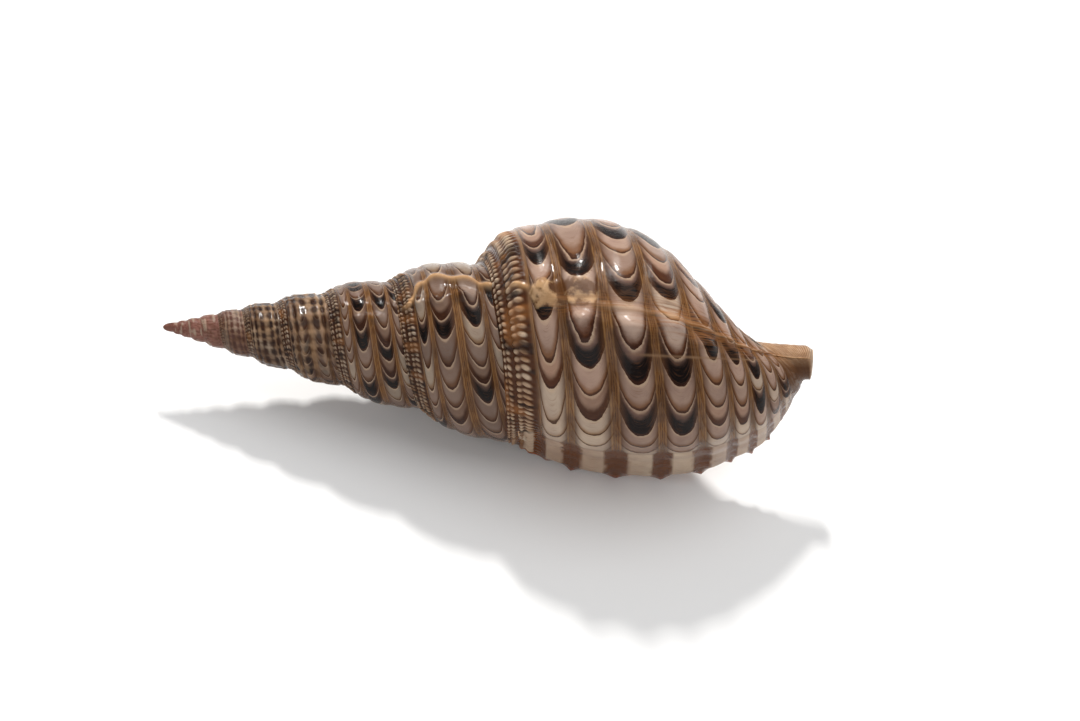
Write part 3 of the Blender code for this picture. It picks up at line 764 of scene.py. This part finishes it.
def inside_piece(material):
    """The lip's rounded edge and the hollow behind it, as rings that run back from the lip."""
    steps_back = steps((1.5, 12.0, 0.75), (12.0, 60.0, 1.5), (60.0, 430.0, 5.0))
    places = [(0.0, turn) for turn in np.linspace(0.0, math.pi, RIM_RINGS)]
    places += [(float(step), None) for step in steps_back]
    rings = []
    ring_looks = []
    for step, turn in places:
        whole = float(fade(0.0, RIM_OVER, step))
        start = HOLLOW_CORNER_RIB * (0.25 + 0.75 * whole)
        drawn_in = float(fade(*LIP_END_OVER, step))
        turns_back = LIP_END_RIB + (HOLLOW_END_RIB - LIP_END_RIB) * drawn_in
        past_seam = CORNER_GAP[0] + (CORNER_GAP[1] - CORNER_GAP[0]) * whole
        end = float(seam_rib(LIP_ANGLE - step - 360.0)) + past_seam
        outer = np.linspace(start, turns_back, OUTER_POINTS)[None, :]
        inner = np.linspace(turns_back, end, INNER_POINTS)[None, :]
        on_rim = turn is not None
        lip_side = rim_side(turn, outer) if on_rim else wall_side(step, whole, outer)
        rings.append(np.concatenate([lip_side, columella_side(step, whole, inner)]))
        ring_looks.append(ring_colours(step, on_rim, outer[0], inner[0]))
    return make_piece("aperture", np.array(rings), plain_looks(np.array(ring_looks)), material)


# Glaze

class Glaze:
    """Builds the shell's material node by node."""

    def __init__(self, name):
        self.material = bpy.data.materials.new(name)
        self.material.use_nodes = True
        self.tree = self.material.node_tree
        self.shader = self.tree.nodes["Principled BSDF"]

    def node(self, kind, **settings):
        made = self.tree.nodes.new(kind)
        for label, value in settings.items():
            setattr(made, label, value)
        return made

    def link(self, source, target):
        self.tree.links.new(source, target)

    def attribute(self, name, output):
        return self.node("ShaderNodeAttribute", attribute_name=name).outputs[output]

    def maths(self, operation, *inputs):
        made = self.node("ShaderNodeMath", operation=operation)
        for socket, value in zip(made.inputs, inputs):
            if isinstance(value, (int, float)):
                socket.default_value = value
            else:
                self.link(value, socket)
        return made.outputs[0]

    def ramp(self, value, low, high):
        """0 below low and 1 above high, smoothly."""
        made = self.node("ShaderNodeMapRange", interpolation_type="SMOOTHSTEP")
        for label, setting in (("Value", value), ("From Min", low), ("From Max", high)):
            if isinstance(setting, (int, float)):
                made.inputs[label].default_value = setting
            else:
                self.link(setting, made.inputs[label])
        return made.outputs["Result"]

    def mix(self, share, first, second, kind="MIX"):
        """The first colour with the second laid over it, as strongly as the share."""
        made = self.node("ShaderNodeMix", data_type="RGBA", blend_type=kind)
        for socket, value in zip((made.inputs[0], made.inputs[6], made.inputs[7]), (share, first, second)):
            if isinstance(value, (int, float)):
                socket.default_value = value
            elif isinstance(value, np.ndarray):
                socket.default_value = (*value, 1.0)
            else:
                self.link(value, socket)
        return made.outputs[2]

    def noise(self, vector, scale, detail=3.0):
        made = self.node("ShaderNodeTexNoise")
        made.inputs["Scale"].default_value = scale
        made.inputs["Detail"].default_value = detail
        self.link(vector, made.inputs["Vector"])
        return made.outputs["Fac"]

    def tint(self, base, where, strength, shade):
        """Lays a shade over the base where a value is 1, as strongly as stated."""
        return self.mix(self.maths("MULTIPLY", where, strength), base, shade)

    def plane(self, first, second, share):
        """A place for flat noise, from one value and a share of another."""
        made = self.node("ShaderNodeCombineXYZ")
        self.link(first, made.inputs["X"])
        self.link(self.maths("MULTIPLY", second, share), made.inputs["Y"])
        return made.outputs[0]


def scale_marks(glaze, within, across):
    """Scale-shaped marks that deepen toward the lip, with a dark rim, a pale start and brown horns."""
    turns_at = glaze.attribute("turns_at", "Fac")
    deepens = glaze.ramp(within, turns_at, glaze.maths("ADD", turns_at, 0.36))
    scale = glaze.mix(deepens, glaze.attribute("pale", "Color"), glaze.attribute("deep", "Color"))
    scale = glaze.tint(scale, glaze.ramp(within, 0.84, 0.94), 0.85, MARK_RIM)
    flash = glaze.maths("SUBTRACT", 1.0, glaze.ramp(within, 0.02, 0.16))
    scale = glaze.tint(scale, flash, 0.55, MARK_FLASH)
    return glaze.tint(scale, glaze.ramp(across, 0.20, 0.38), 0.55, MARK_HORN)


def groove_lines(glaze, streak, spot):
    """Brown and tan lines along the grooves between the ribs, with dark patches."""
    groove = glaze.node("ShaderNodeValToRGB")
    glaze.link(streak, groove.inputs["Fac"])
    stops = groove.color_ramp.elements
    for index, (at, shade) in enumerate(GROOVE_STOPS):
        stop = stops[index] if index < 2 else stops.new(at)
        stop.position = at
        stop.color = (*shade, 1.0)
    patch = glaze.ramp(glaze.noise(spot, 75.0), 0.42, 0.62)
    return glaze.tint(groove.outputs["Color"], patch, 0.6, GROOVE_PATCH)


def canal_threads(glaze, base, rib, wobble):
    """Thin brown lines round the canal."""
    swayed = glaze.maths("ADD", rib, glaze.maths("MULTIPLY", wobble, 0.5))
    turn = glaze.maths("MULTIPLY", swayed, 2 * math.pi * THREADS_PER_RIB)
    thread = glaze.ramp(glaze.maths("SINE", turn), 0.1, 0.95)
    lined = glaze.maths("MULTIPLY", thread, glaze.attribute("lined", "Fac"))
    return glaze.tint(base, lined, 0.7, THREAD_BROWN)


def worn_patches(glaze, base, blotches, spot):
    """Brown and tan blotches where the skin is worn, and in a few spots elsewhere."""
    wear = glaze.maths("ADD", glaze.attribute("worn", "Fac"), glaze.noise(spot, 210.0, 5.0))
    scraped = glaze.mix(glaze.ramp(blotches, 0.43, 0.57), SCRAPED_BROWN, SCRAPED_TAN)
    return glaze.tint(base, glaze.ramp(wear, 0.78, 1.14), 0.72, scraped)


def lip_streaks(glaze, base, rib):
    """Tan and brown streaks that run along the last old lip."""
    streaks = glaze.noise(glaze.plane(glaze.attribute("turn", "Fac"), rib, 0.10), 9.0, 4.0)
    streaked = glaze.maths("MULTIPLY", glaze.attribute("streaked", "Fac"), glaze.ramp(streaks, 0.42, 0.58))
    shade = glaze.mix(glaze.ramp(streaks, 0.5, 0.68), STREAK_TAN, STREAK_BROWN)
    return glaze.tint(base, streaked, 0.85, shade)


def fine_bump(glaze, lines, blotches, spot):
    """Growth lines, scars where the skin is worn, and grain, as a bump."""
    scars = glaze.maths("MULTIPLY", blotches, glaze.maths("MULTIPLY", glaze.attribute("worn", "Fac"), 6.0))
    grain = glaze.maths("MULTIPLY", glaze.noise(spot, 900.0, 2.0), 0.35)
    bump = glaze.node("ShaderNodeBump")
    bump.inputs["Strength"].default_value = 0.28
    bump.inputs["Distance"].default_value = 0.0006
    glaze.link(glaze.maths("ADD", glaze.maths("ADD", lines, scars), grain), bump.inputs["Height"])
    return bump.outputs["Normal"]


def glazed_shell():
    """Porcelain glaze over scale-shaped marks, with fine growth lines."""
    glaze = Glaze("glazed_shell")
    rib = glaze.attribute("rib", "Fac")
    phase = glaze.attribute("phase", "Fac")
    spot = glaze.node("ShaderNodeTexCoord").outputs["Object"]
    wobble = glaze.maths("MULTIPLY", glaze.maths("SUBTRACT", glaze.noise(spot, 260.0), 0.5), 0.16)
    within = glaze.maths("FRACT", glaze.maths("ADD", phase, wobble))
    across = glaze.maths("ABSOLUTE", glaze.maths("SUBTRACT", rib, glaze.maths("ROUND", rib)))
    streak = glaze.maths("ADD", across, glaze.maths("MULTIPLY", wobble, 0.22))
    in_groove = glaze.maths("MULTIPLY", glaze.ramp(streak, 0.32, 0.42), 0.74)
    pattern = glaze.mix(in_groove, scale_marks(glaze, within, across), groove_lines(glaze, streak, spot))
    base = glaze.mix(glaze.attribute("cells", "Fac"), glaze.attribute("plain", "Color"), pattern)
    base = canal_threads(glaze, base, rib, wobble)
    cloud = glaze.noise(spot, 90.0, 4.0)
    base = glaze.mix(0.5, base, glaze.mix(glaze.ramp(cloud, 0.3, 0.7), CLOUD_GREY, CLOUD_WHITE), "MULTIPLY")
    lines = glaze.noise(glaze.plane(phase, rib, 0.12), 26.0, 4.0)
    base = glaze.tint(base, glaze.ramp(lines, 0.52, 0.72), 0.34, GROWTH_BROWN)
    blotches = glaze.noise(spot, 120.0, 5.0)
    base = worn_patches(glaze, base, blotches, spot)
    base = lip_streaks(glaze, base, rib)
    rough = glaze.maths("ADD", 0.13, glaze.maths("MULTIPLY", cloud, 0.18))
    inputs = glaze.shader.inputs
    glaze.link(fine_bump(glaze, lines, blotches, spot), inputs["Normal"])
    glaze.link(base, inputs["Base Color"])
    glaze.link(rough, inputs["Roughness"])
    inputs["Specular IOR Level"].default_value = 0.09
    inputs["Coat Weight"].default_value = 0.10
    inputs["Coat Roughness"].default_value = 0.06
    return glaze.material


def plain_floor():
    """A wide pale floor under the shell."""
    material = bpy.data.materials.new("pale_floor")
    material.use_nodes = True
    shader = material.node_tree.nodes["Principled BSDF"]
    shader.inputs["Base Color"].default_value = (FLOOR_GREY, FLOOR_GREY, FLOOR_GREY, 1.0)
    shader.inputs["Roughness"].default_value = 0.8
    mesh = bpy.data.meshes.new("floor")
    corners = [(FLOOR_HALF * x, FLOOR_HALF * y, 0) for x, y in ((-1, -1), (1, -1), (1, 1), (-1, 1))]
    mesh.from_pydata(corners, [], [(0, 1, 2, 3)])
    mesh.materials.append(material)
    floor = bpy.data.objects.new("floor", mesh)
    bpy.context.scene.collection.objects.link(floor)


# Studio

def aim(thing, place_at, target, up):
    """Puts a camera or light at a place, looking at the target, with the given way up."""
    back = (Vector(place_at) - Vector(target)).normalized()
    right = Vector(up).cross(back).normalized()
    turned_up = back.cross(right)
    rows = [(right[axis], turned_up[axis], back[axis], place_at[axis]) for axis in range(3)]
    thing.matrix_world = Matrix((*rows, (0, 0, 0, 1)))


def softbox(name, direction, distance, size, power, shade):
    """An oblong lamp that shines on the middle of the shell."""
    light = bpy.data.lights.new(name, "AREA")
    light.shape = "RECTANGLE"
    light.size, light.size_y = size
    light.energy = power
    light.color = shade
    lamp = bpy.data.objects.new(name, light)
    bpy.context.scene.collection.objects.link(lamp)
    target = Vector(laid(LOOKS_AT))
    aim(lamp, target + Vector(direction).normalized() * distance, target, (0, 0, 1))


def set_studio():
    """The lamps and an even white light from all round."""
    for lamp in LAMPS:
        softbox(*lamp)
    bpy.context.scene.view_settings.view_transform = "Standard"
    world = bpy.data.worlds.new("studio")
    world.use_nodes = True
    world.node_tree.nodes["Background"].inputs["Color"].default_value = (1.0, 1.0, 1.0, 1.0)
    world.node_tree.nodes["Background"].inputs["Strength"].default_value = WORLD_LIGHT
    bpy.context.scene.world = world


def set_camera():
    """Looks at the middle of the shell's back, a little rolled, as the photograph does."""
    camera = bpy.data.cameras.new("camera")
    camera.sensor_width = SENSOR
    camera.lens = SENSOR * CAMERA_DISTANCE / FRAME_WIDTH
    viewer = bpy.data.objects.new("camera", camera)
    bpy.context.scene.collection.objects.link(viewer)
    target = Vector(laid(LOOKS_AT))
    back = Vector(LAY @ np.array([0.0, 0.0, 1.0]))
    up = Vector(LAY @ np.array([-math.sin(PHOTO_TILT), math.cos(PHOTO_TILT), 0.0]))
    aim(viewer, target + back * CAMERA_DISTANCE, target, up)
    bpy.context.scene.camera = viewer


def build():
    """Every piece of the shell, from the lip back to the apex, and then its inside and its end."""
    material = glazed_shell()
    first = LIP_ANGLE - 360.0
    coil_starts = 90.0 + 360.0 * math.log(FIRST_SEAM / SEAM_DISTANCE) / math.log(WHORL_GROWTH)
    skin_piece("body_whorl_back", steps((BODY_PARTED_AT, LIP_ANGLE, 0.4)), BODY_ROWS, material)
    skin_piece("body_whorl_front", steps((first, BODY_PARTED_AT, 0.6)), BODY_ROWS, material)
    young_piece("spire_base", (first - 360.0, first + 0.6, 0.6), 110, material)
    young_piece("spire_middle", (first - 1080.0, first - 359.0, 1.0), 60, material)
    young_piece("spire_top", (coil_starts, first - 1079.0, 1.5), 36, material)
    apex_piece(coil_starts, material)
    inside_piece(material)
    canal_end_piece(material)


build()
plain_floor()
set_studio()
set_camera()
